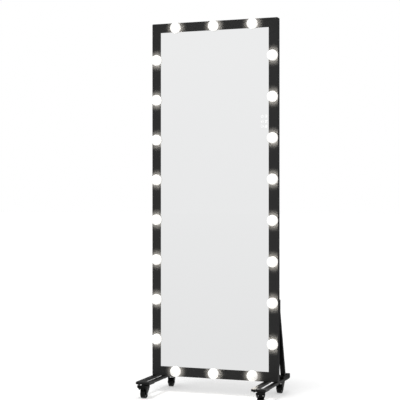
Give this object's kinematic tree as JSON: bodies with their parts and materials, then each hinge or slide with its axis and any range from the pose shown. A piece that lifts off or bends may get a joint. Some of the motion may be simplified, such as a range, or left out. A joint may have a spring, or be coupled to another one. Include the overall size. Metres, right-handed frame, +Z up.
{
  "type": "full-length mirror",
  "caption": "Full-length mirror in a dark frame with frosted lamp globes all round, on two slotted feet with swivel casters and brake pedals.",
  "frame": {"origin": "on the floor, at the middle of the object's outline seen from above", "axes": "+X to the right of someone facing the mirror, -Y out of the mirror towards them, +Z up"},
  "size_m": [0.595, 0.4154, 1.6737],
  "materials": {
    "frame": "fine-texture powder coat, satin",
    "brace": "fine-texture powder coat, satin",
    "mirror": "polished",
    "globe": "frosted, lit from inside",
    "panel": "dark laminated fibreboard",
    "steel": "zinc plated",
    "tape": "matt foam",
    "lamp_base": "moulded",
    "board": "solder mask",
    "wire": "soft insulation",
    "housing": "moulded",
    "inlet": "moulded",
    "caster": "moulded nylon, slight sheen",
    "caster_metal": "black coated steel",
    "wheel": "smooth tread"
  },
  "bodies": {
    "stand": {"rail_left": "frame", "rail_right": "frame", "rail_top": "frame", "rail_bottom": "frame", "corner_brackets": "steel", "mirror_glass": "mirror", "glass_tape": "tape", "back_panel": "panel", "panel_screws": "steel", "lamp_bases": "lamp_base", "led_boards": "board", "wiring_loom": "wire", "touch_board": "board", "control_box": "housing", "dc_inlet": "inlet", "foot_left": "frame", "foot_right": "frame", "brace_left": "brace", "brace_right": "brace", "foot_bolts": "steel", "brace_bolts": "caster_metal", "caster_bolts": "caster_metal", "caster_plates": "caster_metal", "bulb_01": "globe", "bulb_02": "globe", "bulb_03": "globe", "bulb_04": "globe", "bulb_05": "globe", "bulb_06": "globe", "bulb_07": "globe", "bulb_08": "globe", "bulb_09": "globe", "bulb_10": "globe", "bulb_11": "globe", "bulb_12": "globe", "bulb_13": "globe", "bulb_14": "globe", "bulb_15": "globe", "bulb_16": "globe", "bulb_17": "globe", "bulb_18": "globe", "bulb_19": "globe", "bulb_20": "globe", "bulb_21": "globe", "bulb_22": "globe"},
    "caster_fl_swivel": {"caster_fl_fork": "caster", "caster_fl_axle": "steel"},
    "caster_fl_roller": {"caster_fl_wheel": "wheel"},
    "caster_fl_brake": {"caster_fl_pedal": "caster"},
    "caster_fr_swivel": {"caster_fr_fork": "caster", "caster_fr_axle": "steel"},
    "caster_fr_roller": {"caster_fr_wheel": "wheel"},
    "caster_fr_brake": {"caster_fr_pedal": "caster"},
    "caster_rl_swivel": {"caster_rl_fork": "caster", "caster_rl_axle": "steel"},
    "caster_rl_roller": {"caster_rl_wheel": "wheel"},
    "caster_rr_swivel": {"caster_rr_fork": "caster", "caster_rr_axle": "steel"},
    "caster_rr_roller": {"caster_rr_wheel": "wheel"}
  },
  "joints": [
    {"name": "caster_fl_turn", "type": "hinge", "parent": "stand", "child": "caster_fl_swivel", "pos_m": [-0.2645, -0.15328, 0.055], "axis": [0, 0, 1], "continuous": true},
    {"name": "caster_fl_roll", "type": "hinge", "parent": "caster_fl_swivel", "child": "caster_fl_roller", "pos_m": [-0.2645, -0.17228, 0.021], "axis": [1, 0, 0], "continuous": true},
    {"name": "caster_fl_brake_tip", "type": "hinge", "parent": "caster_fl_swivel", "child": "caster_fl_brake", "pos_m": [-0.2645, -0.17828, 0.0475], "axis": [1, 0, 0], "range_deg": [0, 14]},
    {"name": "caster_fr_turn", "type": "hinge", "parent": "stand", "child": "caster_fr_swivel", "pos_m": [0.2645, -0.15328, 0.055], "axis": [0, 0, 1], "continuous": true},
    {"name": "caster_fr_roll", "type": "hinge", "parent": "caster_fr_swivel", "child": "caster_fr_roller", "pos_m": [0.26942, -0.17163, 0.021], "axis": [0.9659, 0.2588, 0], "continuous": true},
    {"name": "caster_fr_brake_tip", "type": "hinge", "parent": "caster_fr_swivel", "child": "caster_fr_brake", "pos_m": [0.27097, -0.17743, 0.0475], "axis": [0.9659, 0.2588, 0], "range_deg": [0, 14]},
    {"name": "caster_rl_turn", "type": "hinge", "parent": "stand", "child": "caster_rl_swivel", "pos_m": [-0.2645, 0.16772, 0.055], "axis": [0, 0, 1], "continuous": true},
    {"name": "caster_rl_roll", "type": "hinge", "parent": "caster_rl_swivel", "child": "caster_rl_roller", "pos_m": [-0.2612, 0.14901, 0.021], "axis": [0.9848, 0.1736, 0], "continuous": true},
    {"name": "caster_rr_turn", "type": "hinge", "parent": "stand", "child": "caster_rr_swivel", "pos_m": [0.2645, 0.16772, 0.055], "axis": [0, 0, 1], "continuous": true},
    {"name": "caster_rr_roll", "type": "hinge", "parent": "caster_rr_swivel", "child": "caster_rr_roller", "pos_m": [0.2645, 0.14872, 0.021], "axis": [1, 0, 0], "continuous": true}
  ]
}
